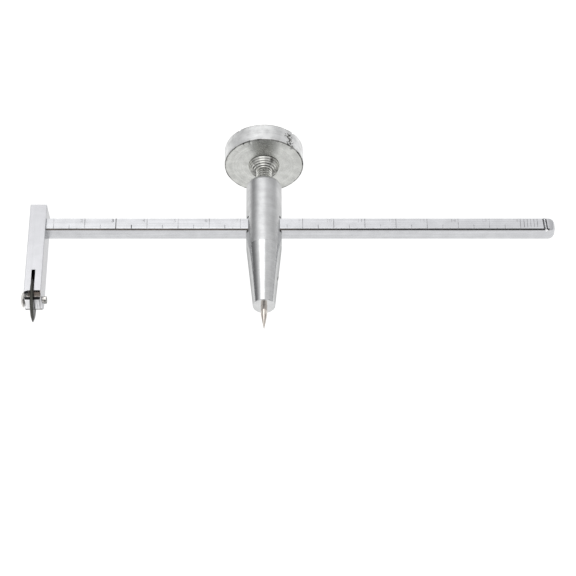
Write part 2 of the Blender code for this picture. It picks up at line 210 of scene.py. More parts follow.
class Graph:
    """Adds nodes to a shader tree and links them."""

    def __init__(self, tree):
        self.tree = tree

    def add(self, kind, settings=None, **inputs):
        node = self.tree.nodes.new(kind)
        for name, value in (settings or {}).items():
            setattr(node, name, value)
        for name, value in inputs.items():
            self.feed(node.inputs[name.replace("_", " ")], value)
        return node

    def feed(self, socket, value):
        if isinstance(value, bpy.types.NodeSocket):
            self.tree.links.new(value, socket)
        else:
            socket.default_value = value

    def math(self, operation, a, b=0.0):
        node = self.tree.nodes.new("ShaderNodeMath")
        node.operation = operation
        self.feed(node.inputs[0], a)
        self.feed(node.inputs[1], b)
        return node.outputs[0]

    def ramp(self, value, low, high, out_low, out_high):
        """Maps a range smoothly to another one."""
        node = self.add("ShaderNodeMapRange", {"interpolation_type": "SMOOTHSTEP"})
        for socket, number in zip(node.inputs, (value, low, high, out_low, out_high)):
            self.feed(socket, number)
        return node.outputs[0]

    def noise(self, vector, scale, detail=3.0, roughness=0.55):
        node = self.add("ShaderNodeTexNoise", Vector=vector, Scale=scale, Detail=detail, Roughness=roughness)
        return node.outputs["Fac"]

    def mix(self, factor, first, second):
        """Mixes two colours. The sockets are numbered, because a Mix node's colours share their names."""
        node = self.add("ShaderNodeMix", {"data_type": "RGBA"})
        self.feed(node.inputs["Factor"], factor)
        self.feed(node.inputs[6], first)
        self.feed(node.inputs[7], second)
        return node.outputs[2]

    def tint(self, factor, dark, light):
        return self.mix(factor, (*dark, 1.0), (*light, 1.0))

    def swing(self, noise, low, high, amount):
        """Turns noise between two levels into a smooth swing of this amount either way."""
        return self.math("MULTIPLY", self.ramp(noise, low, high, -1.0, 1.0), amount)

    def spots(self, noise, low, high, amount):
        """Turns only the noise above a level into spots of this amount."""
        return self.math("MULTIPLY", self.ramp(noise, low, high, 0.0, 1.0), amount)

    def bump(self, height, strength, distance, normal=None):
        node = self.add("ShaderNodeBump", Height=height, Strength=strength, Distance=distance)
        if normal is not None:
            self.feed(node.inputs["Normal"], normal)
        return node.outputs[0]


def shaded(colour, factor):
    return tuple(channel * factor for channel in colour)


def grain_along(graph, place, axis):
    """Coordinates in which noise runs out into long streaks along one axis."""
    stretch = Vector((1, 1, 1)) - AXES[axis] * GRAIN_SQUEEZE
    node = graph.add("ShaderNodeMapping", Vector=place, Scale=stretch)
    return node.outputs[0]


def grain_around(graph, place, axis):
    """Coordinates in which noise runs round an axis, as the marks of turning do."""
    split = graph.add("ShaderNodeSeparateXYZ", Vector=place)
    along = split.outputs[axis]
    across = [split.outputs[name] for name in AXES if name != axis]
    squares = [graph.math("MULTIPLY", socket, socket) for socket in across]
    radius = graph.math("SQRT", graph.math("ADD", *squares))
    drift = graph.math("MULTIPLY", across[0], GRAIN_DRIFT)
    return graph.add("ShaderNodeCombineXYZ", X=along, Y=radius, Z=drift).outputs[0]


def metal(
    name, colour, roughness, grain=None, axis="X", grain_scale=1500.0, grain_depth=0.004,
    streak=0.08, mottle=0.06, speckle=0.0, anisotropy=0.0, dirt=0.0, edge_tint=1.0,
):
    """A bare metal. Its grain runs along or around an axis, over a soft mottle and fine speckles."""
    material = bpy.data.materials.new(name)
    material.use_nodes = True
    graph = Graph(material.node_tree)
    shader = material.node_tree.nodes["Principled BSDF"]
    shader.inputs["Metallic"].default_value = 1.0
    shader.inputs["Specular Tint"].default_value = (edge_tint, edge_tint, edge_tint, 1.0)
    place = graph.add("ShaderNodeTexCoord").outputs["Object"]
    if grain == "around":
        lines = grain_around(graph, place, axis)
    elif grain == "along":
        lines = grain_along(graph, place, axis)
    else:
        lines = place
    fine = graph.noise(lines, grain_scale, 4.0, 0.65)
    dots = graph.noise(place, DOT_SCALE, 2.0, 0.6)

    shades = [
        graph.swing(fine, 0.3, 0.7, streak),
        graph.swing(graph.noise(place, CLOUD_SCALE), 0.3, 0.7, mottle),
        graph.spots(dots, 0.60, 0.72, speckle),
    ]
    if dirt:
        shades.append(graph.spots(graph.noise(place, SPOT_SCALE, 4.0, 0.7), 0.62, 0.74, -dirt))
    level = shades[0]
    for shade in shades[1:]:
        level = graph.math("ADD", level, shade)
    half_level = graph.math("ADD", graph.math("MULTIPLY", level, 0.5), 0.5)
    graph.feed(shader.inputs["Base Color"], graph.tint(half_level, (0.0, 0.0, 0.0), shaded(colour, 2.0)))

    # lighter places are a little smoother
    graph.feed(shader.inputs["Roughness"], graph.math("ADD", roughness, graph.math("MULTIPLY", level, -0.25)))
    grooves = graph.bump(fine, 1.0, grain_depth * MM)
    graph.feed(shader.inputs["Normal"], graph.bump(dots, 0.25, DOT_DEPTH * MM, grooves))
    if anisotropy:
        shader.inputs["Anisotropic"].default_value = anisotropy
        if grain == "around":
            tangent = graph.add("ShaderNodeTangent", {"direction_type": "RADIAL", "axis": axis})
            graph.feed(shader.inputs["Tangent"], tangent.outputs[0])
            shader.inputs["Anisotropic Rotation"].default_value = 0.25
    return material


def beam_metals():
    return {
        "beam": metal(
            "drawn_plated_steel", (0.56, 0.565, 0.58), 0.26, "along", "X", 1300.0, 0.002,
            streak=0.07, mottle=0.04, speckle=0.04,
        ),
        "beam_edge": metal(
            "burnished_edge", (0.50, 0.50, 0.51), 0.12, "along", "X", 1300.0, 0.002, streak=0.2, mottle=0.2
        ),
        "mark": metal("worn_mark", (0.42, 0.42, 0.43), 0.5, grain_scale=2500.0, streak=0.2, mottle=0.3),
        "faint_mark": metal(
            "faint_numeral", (0.50, 0.50, 0.51), 0.4, grain_scale=2500.0, streak=0.1, mottle=0.2
        ),
        "dark_mark": metal(
            "filled_mark", (0.06, 0.06, 0.065), 0.6, grain_scale=2500.0, streak=0.2, mottle=0.3
        ),
        "burr": metal(
            "raised_burr", (0.9, 0.9, 0.9), 0.35, grain_scale=2500.0, grain_depth=0.001,
            streak=0.05, mottle=0.05,
        ),
    }


def arm_metals():
    return {
        "arm": metal(
            "satin_plated_steel", (0.52, 0.522, 0.537), 0.22, "along", "Y", 700.0, 0.001,
            streak=0.03, mottle=0.03, speckle=0.03, edge_tint=0.85,
        ),
        "filed": metal(
            "filed_chamfer", (0.64, 0.60, 0.57), 0.13, "along", "X", 1500.0, 0.003, streak=0.25, mottle=0.25
        ),
        "fork_end": metal(
            "worn_fork_end", (0.62, 0.62, 0.63), 0.3, "along", "Z", 900.0, 0.003,
            streak=0.4, mottle=0.1, speckle=0.1, dirt=0.3,
        ),
        "rivet": metal(
            "rivet_steel", (0.60, 0.585, 0.56), 0.2, "around", "X", 1600.0,
            mottle=0.15, dirt=0.45,
        ),
        "cross_pin": metal("cross_pin_steel", POLISHED, 0.2, "around", "Z", 1600.0, mottle=0.10),
        "wheel": metal(
            "hardened_wheel_steel", (0.07, 0.07, 0.062), 0.26, "around", "X", 2600.0,
            streak=0.25, mottle=0.15, speckle=0.2, edge_tint=0.5,
        ),
    }


def post_metals():
    return {
        "post": metal(
            "turned_aluminium", ALUMINIUM, 0.38, "around", "Y", 1800.0, 0.0015,
            streak=0.03, mottle=0.08, speckle=0.12, anisotropy=0.45, edge_tint=0.8,
        ),
        "taper": metal(
            "fine_turned_aluminium", ALUMINIUM, 0.18, "around", "Y", 2200.0, 0.0006,
            streak=0.03, mottle=0.05, speckle=0.05, anisotropy=0.4, edge_tint=0.55,
        ),
        "nose": metal("faced_nose", ALUMINIUM, 0.07, "around", "Y", 2200.0, 0.0004, streak=0.03),
        "pin": metal(
            "polished_steel", POLISHED, 0.10, "around", "Y", 3500.0, 0.001, streak=0.06, mottle=0.04
        ),
    }


def clamp_metals():
    return {
        # lighter than the knob's face: painted light on the rim
        "knob_rim": metal(
            "turned_knob_rim", (0.76, 0.765, 0.76), 0.6, "around", "Y", 1500.0, 0.003,
            streak=0.05, mottle=0.10, speckle=0.12, anisotropy=0.4, dirt=0.12,
        ),
        "knob_face": metal(
            "faced_knob", (0.54, 0.545, 0.525), 0.26, "around", "Y", 1300.0,
            streak=0.07, mottle=0.10, speckle=0.08, anisotropy=0.7,
        ),
        # lighter than the screw's steel: painted highlight on the thread
        "thread": metal(
            "rolled_thread", (0.80, 0.80, 0.77), 0.25, "around", "Y", 2500.0, 0.002, streak=0.1
        ),
        "screw": metal(
            "turned_screw_steel", (0.58, 0.58, 0.55), 0.22, "around", "Y", 2500.0, 0.002, streak=0.10
        ),
        "brass": metal("turned_brass", (0.70, 0.52, 0.23), 0.3, "around", "Y", streak=0.1, mottle=0.1),
    }


def make_materials():
    shared = {
        # black oxide on the grub screw; painted shade in the fork's slot and relief holes, and on the fork's
        # chamfer
        "black_steel_and_shade": metal(
            "black_oxide_steel", (0.035, 0.035, 0.037), 0.4,
            streak=0.1, mottle=0.1, speckle=0.1, edge_tint=0.4,
        ),
        # dirt and painted shade: shade in holes, valleys, hub steps, knob edge and fork end, reflection in
        # the fork's dip
        "edge": metal(
            "soiled_edge", (0.22, 0.22, 0.21), 0.4, grain_scale=700.0, grain_depth=0.006,
            streak=0.5, mottle=0.7, speckle=0.5,
        ),
    }
    return {**beam_metals(), **arm_metals(), **post_metals(), **clamp_metals(), **shared}


# ---------------------------------------------------------------- mesh helpers


def finish_piece(name, bm, materials, origin=(0, 0, 0), smooth_angle=32, body=None, stands_for=None):
    """Makes an object from a bmesh in millimetres about an origin. Without a body it is a cutter."""
    bmesh.ops.scale(bm, vec=(MM, MM, MM), verts=bm.verts)
    bmesh.ops.recalc_face_normals(bm, faces=bm.faces)
    mesh = bpy.data.meshes.new(name)
    bm.to_mesh(mesh)
    bm.free()
    for material in materials:
        mesh.materials.append(material)
    obj = bpy.data.objects.new(name, mesh)
    obj.location = CROSSING + Vector(origin) * MM
    bpy.context.collection.objects.link(obj)
    if body is None:
        obj.hide_render = True
        obj.hide_viewport = True
        obj.display_type = "WIRE"
        return obj
    mesh.shade_smooth()
    mesh.set_sharp_from_angle(angle=math.radians(smooth_angle))
    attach(obj, body)
    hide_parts(stands_for)
    return obj


def cut(target, cutter):
    """Cuts one object with another now, keeping the cutter's materials on the cut faces."""
    modifier = target.modifiers.new(cutter.name, "BOOLEAN")
    modifier.operation = "DIFFERENCE"
    modifier.solver = "EXACT"
    modifier.material_mode = "TRANSFER"
    modifier.object = cutter
    apply_modifiers(target)
    bpy.data.objects.remove(cutter)


def apply_modifiers(obj):
    hidden = [o for o in bpy.data.objects if o.hide_viewport]
    for other in hidden:
        other.hide_viewport = False
    bpy.context.view_layer.update()
    graph = bpy.context.evaluated_depsgraph_get()
    mesh = bpy.data.meshes.new_from_object(obj.evaluated_get(graph), depsgraph=graph)
    old = obj.data
    obj.modifiers.clear()
    obj.data = mesh
    bpy.data.meshes.remove(old)
    for other in hidden:
        other.hide_viewport = True


def sharpen(obj, angle=32):
    """Sets the sharp edges, and keeps the shading of the large flat faces flat up to their bevels."""
    obj.data.shade_smooth()
    obj.data.set_sharp_from_angle(angle=math.radians(angle))
    modifier = obj.modifiers.new("flat_faces", "WEIGHTED_NORMAL")
    modifier.keep_sharp = True
    modifier.weight = 100


def fillet(points, radii, steps=5):
    """An open outline whose inner corners are rounded, each with its own radius."""
    points = [Vector(point) for point in points]
    outline = [points[0]]
    for before, corner, after, radius in zip(points, points[1:], points[2:], radii):
        into, out = (before - corner).normalized(), (after - corner).normalized()
        half = into.angle(out) / 2
        if radius == 0 or half > math.radians(89):
            outline.append(corner)
            continue
        reach = radius / math.tan(half)
        centre = corner + (into + out).normalized() * (radius / math.sin(half))
        start, end = corner + into * reach - centre, corner + out * reach - centre
        for i in range(steps + 1):
            outline.append(centre + start.slerp(end, i / steps).normalized() * radius)
    outline.append(points[-1])
    return outline


def revolve(profile, axis, sides, shape=None, slots=None, bm=None):
    """A solid of revolution. The profile's points are (place along the axis, radius).

    shape(place, radius, angle) may move a point, and slots(number) picks the material of the faces that
    follow the profile's point of that number."""
    bm = bm or bmesh.new()
    turned = {"X": "XYZ", "Y": "YZX", "Z": "ZXY"}[axis]
    along, first, second = (AXES[name] for name in turned)
    rings = []
    for place, radius in profile:
        if radius < 1e-6:
            rings.append([bm.verts.new(along * place)])
            continue
        ring = []
        for i in range(sides):
            angle = math.tau * i / sides
            at, out = shape(place, radius, angle) if shape else (place, radius)
            spoke = first * math.cos(angle) + second * math.sin(angle)
            ring.append(bm.verts.new(along * at + spoke * out))
        rings.append(ring)
    for number, (ring, following) in enumerate(zip(rings, rings[1:])):
        slot = slots(number) if slots else 0
        for i in range(sides):
            j = (i + 1) % sides
            quad = [ring[i % len(ring)], ring[j % len(ring)]]
            quad += [following[j % len(following)], following[i % len(following)]]
            corners = list(dict.fromkeys(quad))
            if len(corners) > 2:
                bm.faces.new(corners).material_index = slot
    return bm


def add_box(bm, low, high, turn=None, slot=0):
    made = bmesh.ops.create_cube(bm, size=1)["verts"]
    low, high = Vector(low), Vector(high)
    bmesh.ops.scale(bm, vec=high - low, verts=made)
    if turn is not None:
        bmesh.ops.rotate(bm, cent=(0, 0, 0), matrix=turn, verts=made)
    bmesh.ops.translate(bm, vec=(low + high) / 2, verts=made)
    for face in {face for vert in made for face in vert.link_faces}:
        face.material_index = slot


def add_rod(bm, start, end, radius, axis, sides, centre=(0, 0, 0)):
    before = set(bm.verts)
    revolve([(start, 0), (start, radius), (end, radius), (end, 0)], axis, sides, bm=bm)
    made = [vert for vert in bm.verts if vert not in before]
    bmesh.ops.translate(bm, vec=centre, verts=made)


def loft(sections):
    """Joins rings of points, which all have the same count, and closes both ends."""
    bm = bmesh.new()
    rings = [[bm.verts.new(point) for point in section] for section in sections]
    count = len(rings[0])
    for ring, following in zip(rings, rings[1:]):
        for i in range(count):
            j = (i + 1) % count
            bm.faces.new((ring[i], ring[j], following[j], following[i]))
    bm.faces.new(rings[0])
    bm.faces.new(rings[-1])
    return bm


# ---------------------------------------------------------------- beam


def beam_section(x, inset):
    """The square bar at one place along it. Its lower front edge is broken more than the other three."""
    half = BEAM_FACE - inset
    shrink = half / BEAM_FACE
    points = []
    for turn in range(4):
        if turn == FRONT_EDGE_TURN:
            chamfer, soft, fall = FRONT_EDGE_CHAMFER, EDGE_SOFT, EDGE_DROP
        else:
            chamfer, soft, fall = BEAM_CHAMFER, 0.1, 0
        cut_back = half - chamfer * shrink
        corner = [(half, cut_back - soft * shrink), (half - fall * shrink, cut_back)]
        corner += [(b, a) for a, b in reversed(corner)]
        c, s = round(math.cos(turn * math.pi / 2)), round(math.sin(turn * math.pi / 2))
        points += [(x, a * c - b * s, a * s + b * c) for a, b in corner]
    return points


def scale_x(mark):
    """Where a numbered mark is along the beam."""
    return WHEEL_X + mark * SCALE_PITCH - SCALE_OFFSET


def add_numeral(bm, text, right, top, slot):
    """Adds one number as a solid that reaches into the graduated face."""
    curve = bpy.data.curves.new("numeral", "FONT")
    curve.body = text
    curve.size = NUMERAL_HEIGHT * FONT_SIZE_TO_HEIGHT
    curve.align_x = "RIGHT"
    curve.resolution_u = 3
    curve.extrude = NUMERAL_DEPTH
    letter = bpy.data.objects.new("numeral", curve)
    bpy.context.collection.objects.link(letter)
    graph = bpy.context.evaluated_depsgraph_get()
    mesh = bpy.data.meshes.new_from_object(letter.evaluated_get(graph), depsgraph=graph)
    place = Matrix.Translation((right, top - NUMERAL_HEIGHT, BEAM_FACE))
    mesh.transform(place)
    before = set(bm.faces)
    bm.from_mesh(mesh)
    added = [face for face in bm.faces if face not in before]
    for face in added:
        face.material_index = slot
    corners = {vertex for face in added for vertex in face.verts}
    bmesh.ops.remove_doubles(bm, verts=list(corners), dist=1e-4)
    bpy.data.objects.remove(letter)
    bpy.data.curves.remove(curve)
    bpy.data.meshes.remove(mesh)


def mark_shape(quarter):
    """The top edge, depth and width of the mark at this many quarters of a numbered step."""
    if quarter % 4 == 0:
        return BEAM_FACE + 1, MARK_DEPTH, MARK_WIDTH
    if quarter % 2 == 0:
        return HALF_MARK_HEIGHT - BEAM_FACE, MARK_DEPTH * 0.9, MARK_WIDTH
    return QUARTER_MARK_HEIGHT - BEAM_FACE, MARK_DEPTH * 0.5, MARK_WIDTH * 0.7


def scale_cutter(materials):
    """All marks, numerals and plain strokes. Its materials: worn marks, dark ones and faint numerals."""
    bm = bmesh.new()
    over = BEAM_FACE + 1
    for quarter in range(2, SCALE_MARKS * 4 + 1):
        top, depth, width = mark_shape(quarter)
        dark = quarter / 4 in DARK_MARKS
        half = width * (1.35 if dark else 1.0) / 2
        x = scale_x(quarter / 4)
        add_box(bm, (x - half, -BEAM_FACE - 1, BEAM_FACE - depth), (x + half, top, over), slot=int(dark))
    for mark in range(1, SCALE_MARKS + 1):
        right = scale_x(mark) - (FIRST_NUMERAL_GAP if mark == 1 else NUMERAL_GAP)
        add_numeral(bm, str(mark), right, BEAM_FACE - NUMERAL_TOP_GAP, 1 if mark in DARK_MARKS else 2)
    # plain strokes where the maker would put lettering
    low, high = Vector((0, -BEAM_FACE + 1.2, BEAM_FACE - MARK_DEPTH)), Vector((0, BEAM_FACE - 0.5, over))
    for i in range(STROKES):
        x = scale_x(SCALE_MARKS) + 1.5 + i * STROKE_PITCH
        low.x, high.x = x - STROKE_WIDTH / 2, x + STROKE_WIDTH / 2
        add_box(bm, low, high)
    finishes = [materials[name] for name in ("mark", "dark_mark", "faint_mark")]
    return finish_piece("scale_cutter", bm, finishes)


def stop_groove_cutter(materials):
    """Chisel cuts on both sides of the staked ridge."""
    bm = bmesh.new()
    turn = Matrix.Rotation(-STOP_SLANT, 3, "Z")
    for side in (-1, 1):
        x = STOP_X + side * (STOP_WIDTH / 2 + CHISEL_GAP)
        low = (x - CHISEL_WIDTH / 2, -BEAM_FACE - 0.6, BEAM_FACE - CHISEL_DEPTH)
        high = (x + CHISEL_WIDTH / 2, BEAM_FACE + 0.6, BEAM_FACE + 1)
        add_box(bm, low, high, turn)
    return finish_piece("stop_groove_cutter", bm, [materials["dark_mark"]])


def make_stop_ridge(materials):
    """The metal raised across the graduated face, a little uneven, with a lump at its lower end."""
    lean = math.tan(STOP_SLANT)
    half = STOP_WIDTH / 2 - 0.05
    sections = []
    rng = random.Random(5)
    for i in range(STOP_STEPS + 1):
        y = -BEAM_FACE + 0.1 + (BEAM_SIDE - 0.2) * i / STOP_STEPS
        x = STOP_X + y * lean + rng.uniform(-0.04, 0.04)
        tall = STOP_HEIGHT * rng.uniform(0.72, 1.0)
        points = [(x - half, y, BEAM_FACE - 0.8), (x + half, y, BEAM_FACE - 0.8)]
        for angle in range(0, 181, 30):
            a = math.radians(angle)
            points.append((x + half * math.cos(a), y, BEAM_FACE - 0.15 + (tall + 0.15) * math.sin(a)))
        sections.append(points)
    bm = loft(sections)
    lump = bmesh.ops.create_icosphere(bm, subdivisions=3, radius=LUMP_RADIUS)["verts"]
    bmesh.ops.scale(bm, vec=(1.2, 0.8, 1.1), verts=lump)
    low_end = (STOP_X - BEAM_FACE * lean + 0.2, -BEAM_FACE - 0.02, BEAM_FACE - 0.45)
    bmesh.ops.translate(bm, vec=low_end, verts=lump)
    for face in {face for vertex in lump for face in vertex.link_faces}:
        face.material_index = 1
    finishes = [materials["beam"], materials["burr"]]
    finish_piece("beam_end_stop", bm, finishes, body="beam", stands_for="beam")


def make_beam(materials):
    start = BEAM_HIGH.x - BEAM_END_LENGTH
    sections = [beam_section(BEAM_LOW.x, 0.15), beam_section(BEAM_LOW.x + 0.15, 0)]
    for step in range(0, 91, 15):
        angle = math.radians(step)
        x = start + BEAM_END_LENGTH * math.sin(angle)
        sections.append(beam_section(x, BEAM_END_INSET * (1 - math.cos(angle))))
    bm = loft(sections)
    bm.normal_update()
    for face in bm.faces:
        squareness = max(abs(face.normal.y), abs(face.normal.z))
        face.material_index = 1 if squareness < 0.9 and abs(face.normal.x) < 0.2 else 0
    finishes = [materials["beam"], materials["beam_edge"]]
    beam = finish_piece("beam_bar", bm, finishes, body="beam", stands_for="beam")
    cut(beam, scale_cutter(materials))
    cut(beam, stop_groove_cutter(materials))
    sharpen(beam, 24)
    make_stop_ridge(materials)


# ---------------------------------------------------------------- arm, wheel and axle


def arm_right(z):
    """The inner side leans outwards towards the back."""
    share = (ARM_FRONT - z) / (ARM_FRONT - ARM_BACK)
    return ARM_RIGHT_FRONT + share * (ARM_HIGH.x - ARM_RIGHT_FRONT)


def corner_rise(depth, radius):
    """How far a rounded corner rises at a depth in from the side."""
    if depth >= radius:
        return 0.0
    return radius - math.sqrt(radius**2 - (radius - depth) ** 2)


def arm_outline(drop):
    """The arm seen from its side, as (y, z). The fork's chamfer is a little round, and its upper edge
    lies lower by the drop."""
    bottom = ARM_LOW.y
    top = Vector((bottom + FORK_CHAMFER - drop, ARM_FRONT))
    low = Vector((bottom, ARM_FRONT - FORK_CHAMFER))
    across = Vector((-1, 1)).normalized()
    chamfer = []
    for i in range(CHAMFER_STEPS + 1):
        share = i / CHAMFER_STEPS
        chamfer.append(top.lerp(low, share) + across * FORK_BULGE * 4 * share * (1 - share))
    head = [(bottom + 6, ARM_BACK), (ARM_HIGH.y, ARM_BACK), (ARM_HIGH.y, ARM_FRONT), chamfer[0]]
    foot = [chamfer[-1], (bottom, FORK_SHADE_LINE), (bottom, ARM_BACK), (bottom + 5, ARM_BACK)]
    return fillet(head, (ARM_EDGE, ARM_EDGE), 4) + chamfer[1:-1] + fillet(foot, (0, FORK_BACK_ROUND), 5)


def arm_ring(depth, corner, place, drop):
    """The outline at a depth in from one side, with the side's edge and its lower corner rounded."""
    shrink = corner_rise(depth, ARM_EDGE)
    lowest = ARM_LOW.y + corner_rise(depth, corner)
    middle_y = (ARM_HIGH.y + ARM_LOW.y) / 2
    points = []
    for y, z in arm_outline(drop):
        pulled_y = y + (shrink if y < middle_y else -shrink)
        pulled_z = z + (shrink if z < 0 else -shrink)
        points.append((place(z), max(pulled_y, lowest), pulled_z))
    return points


def arm_depths(corner):
    """Depths in from a side: finely over its edge, then over its lower corner."""
    edge = [ARM_EDGE * (1 - math.sin(math.radians(step))) for step in range(90, -1, -30)]
    return edge + [corner * (1 - math.cos(math.radians(step))) for step in (50, 65, 80, 90)]


def arm_mesh():
    """The bar, lofted from its left side to its right one."""
    left, right = [], []
    for depth in arm_depths(FORK_CORNER_LEFT) + list(DIP_DEPTHS):
        drop = DIP_DROP * (1 - depth / DIP_DEPTHS[-1]) ** 2
        left.append(arm_ring(depth, FORK_CORNER_LEFT, lambda z, depth=depth: ARM_LOW.x + depth, drop))
    for depth in arm_depths(FORK_CORNER_RIGHT):
        right.append(arm_ring(depth, FORK_CORNER_RIGHT, lambda z, depth=depth: arm_right(z) - depth, 0))
    return loft(left + right[::-1])


def arm_finish(face):
    """The finish of one of the arm's faces. Painted shadow blackens the chamfer's foot, painted reflection
    darkens its dip, black at the dip's top, and the fork's end has painted shade at the back."""
    x, y, z = face.calc_center_median()
    foot = ARM_FRONT - FORK_CHAMFER
    if abs(face.normal.x) < 0.5 and y < ARM_LOW.y + FORK_CHAMFER and z > foot:
        if z <= ARM_FRONT - FORK_CHAMFER * PAINTED_DARK_SHARE:
            return "black_steel_and_shade"
        if face.normal.x <= 0.12 or x >= WHEEL_X:
            return "filed"
        return "black_steel_and_shade" if z > ARM_FRONT - FORK_CHAMFER * PAINTED_DARK_TOP_SHARE else "edge"
    if face.normal.y < -0.7 and y < ARM_LOW.y + 1:
        return "edge" if z < FORK_SHADE_LINE else "fork_end"
    return "arm"


def slot_cutter(materials):
    """The fork's slot for the wheel."""
    bm = bmesh.new()
    half = SLOT_WIDTH / 2
    low = (WHEEL_X - half, ARM_LOW.y - 2, ARM_BACK - 2)
    add_box(bm, low, (WHEEL_X + half, SLOT_TOP, ARM_FRONT + 2))
    # the slot's walls take the black material, painted shade
    return finish_piece("slot_cutter", bm, [materials["black_steel_and_shade"]])


def arm_hole_cutter(materials):
    """The beam's socket, with the cross pin's hole into it from behind, and the axle's hole."""
    bm = bmesh.new()
    half = BEAM_FACE + TIGHT_GAP
    add_box(bm, (ARM_RIGHT_FRONT - SOCKET_DEPTH, -half, -half), (ARM_HIGH.x + 2, half, half))
    pin_x = ARM_RIGHT_FRONT - SOCKET_DEPTH / 2
    add_rod(bm, ARM_BACK - 2, -BEAM_FACE, CROSS_PIN_HIGH.x - pin_x + TIGHT_GAP, "Z", 48, (pin_x, 0, 0))
    add_rod(bm, ARM_LOW.x - 2, ARM_HIGH.x + 2, AXLE_HOLE, "X", 48, (0, *axle_place()))
    # the walls take the dark material, painted shade inside the socket and holes
    return finish_piece("hole_cutter", bm, [materials["edge"]])


def make_arm(materials):
    bm = arm_mesh()
    bm.normal_update()
    for face in bm.faces:
        face.material_index = ARM_FINISHES.index(arm_finish(face))
    finishes = [materials[name] for name in ARM_FINISHES]
    arm = finish_piece("arm_fork", bm, finishes, body="beam", stands_for="cutter_arm")
    cut(arm, slot_cutter(materials))
    cut(arm, arm_hole_cutter(materials))
    sharpen(arm, 24)


def axle_place():
    """The axle's y and z."""
    return (AXLE_LOW.y + AXLE_HIGH.y) / 2, (AXLE_LOW.z + AXLE_HIGH.z) / 2


def make_axle(materials):
    """The rivet: a domed head outside the arm's left face, a shank, and a peened end at the right."""
    axle_y, axle_z = axle_place()
    head_radius = (AXLE_HIGH.y - AXLE_LOW.y) / 2
    left, right = AXLE_LOW.x, AXLE_HIGH.x
    face_left = ARM_LOW.x - SEAT_GAP
    face_right = arm_right(axle_z - 1.5) + SEAT_GAP
    profile = fillet(
        [
            (left, 0),
            (left, head_radius * 0.62),
            (left + 0.55, head_radius),
            (face_left, head_radius),
            (face_left, SHANK_RADIUS),
            (face_right, SHANK_RADIUS),
            (face_right, PEENED_RADIUS),
            (right, PEENED_RADIUS - 0.05),
            (right, 0.9),
            (right - 0.35, 0),
        ],
        (0.5, 0.3, 0.15, 0, 0, 0.1, 0.4, 0.25),
        5,
    )
    rng = random.Random(11)
    waves = [(rng.randint(2, 7), rng.uniform(0, math.tau)) for _ in range(5)]

    def hammered(place, radius, angle):
        """The peened end isn't quite round."""
        if place < face_right or radius < 0.3:
            return place, radius
        dent = sum(math.sin(n * angle + phase) for n, phase in waves) / len(waves)
        return place, radius * (1 - 0.05 * (1 + dent))

    bm = revolve(profile, "X", 64, hammered)
    for face in bm.faces:
        middle = face.calc_center_median()
        underside = middle.x > face_right and middle.y < -PEENED_DARK_BELOW
        if underside or middle.x > right - PEENED_RIM:
            face.material_index = 1
    finishes = [materials["rivet"], materials["edge"]]
    finish_piece("axle_rivet", bm, finishes, (0, axle_y, axle_z), 40, "beam", "wheel_axle")


def make_wheel(materials):
    """A disc with a two-step bevel on both sides of its edge."""
    radius = (WHEEL_HIGH.y - WHEEL_LOW.y) / 2
    half = (WHEEL_HIGH.x - WHEEL_LOW.x) / 2
    side = [
        (half, AXLE_HOLE),
        (half, radius - WHEEL_BEVEL),
        (half * 0.45, radius - WHEEL_BEVEL * 0.35),
        (WHEEL_EDGE, radius),
    ]
    other_side = [(-place, out) for place, out in side]
    outline = [(0, AXLE_HOLE), *other_side, *side[::-1], (0, AXLE_HOLE)]
    bm = revolve(fillet(outline, (0.1, 0.3, 0.4, 0, 0, 0.4, 0.3, 0.1), 3), "X", 160)
    bmesh.ops.remove_doubles(bm, verts=bm.verts, dist=1e-5)
    place = (WHEEL_X, *axle_place())
    finish_piece("cutting_disc", bm, [materials["wheel"]], place, 25, "wheel", "cutting_wheel")


def make_cross_pin(materials):
    radius = (CROSS_PIN_HIGH.x - CROSS_PIN_LOW.x) / 2
    low, high = CROSS_PIN_LOW.z, CROSS_PIN_HIGH.z
    profile = fillet([(low, 0), (low, radius), (high, radius), (high, 0)], (0.2, 0.2), 4)
    x = (CROSS_PIN_HIGH.x + CROSS_PIN_LOW.x) / 2
    bm = revolve(profile, "Z", 48)
    finish_piece("cross_pin", bm, [materials["cross_pin"]], (x, 0, 0), 30, "beam", "arm_cross_pin")


# ---------------------------------------------------------------- post, pin and grub screw


def post_radius(y):
    """The post's radius on its tapered part."""
    share = (TAPER_START - y) / (TAPER_START - TAPER_END)
    return POST_RADIUS + share * (NOSE_RADIUS - POST_RADIUS)


def window_cutter(materials):
    """The square hole for the beam."""
    bm = bmesh.new()
    half, reach = BEAM_FACE + SLIDE_GAP, POST_RADIUS + 2
    add_box(bm, (-reach, -half, -half), (reach, half, half))
    # the window's walls take the dark material, painted shade between post and beam
    return finish_piece("window_cutter", bm, [materials["edge"]])


def relief_cutter(materials):
    """The holes drilled through the window's corners."""
    bm = bmesh.new()
    reach = POST_RADIUS + 2
    for y in RELIEF_PLACES:
        for z in (-BEAM_FACE, BEAM_FACE):
            add_rod(bm, -reach, reach, RELIEF_RADIUS, "X", 20, (0, y, z))
    # the holes' walls take the black material, painted shade
    return finish_piece("relief_cutter", bm, [materials["black_steel_and_shade"]])


def post_bore_cutter(materials):
    """The bores for the clamp screw, the centre pin and the grub screw."""
    bm = bmesh.new()
    add_rod(bm, BEAM_FACE - 1, POST_HIGH.y + 2, THREAD_RADIUS + RUNNING_GAP, "Y", 64)
    add_rod(bm, POST_LOW.y - 1, PIN_HIGH.y + SEAT_GAP, PIN_RADIUS + TIGHT_GAP, "Y", 72)
    add_rod(bm, 1.0, POST_RADIUS + 1, GRUB_RADIUS + RUNNING_GAP, "X", 40, (0, GRUB_Y, 0))
    # the bores' walls take the dark material, painted shade
    return finish_piece("post_bore_cutter", bm, [materials["edge"]])


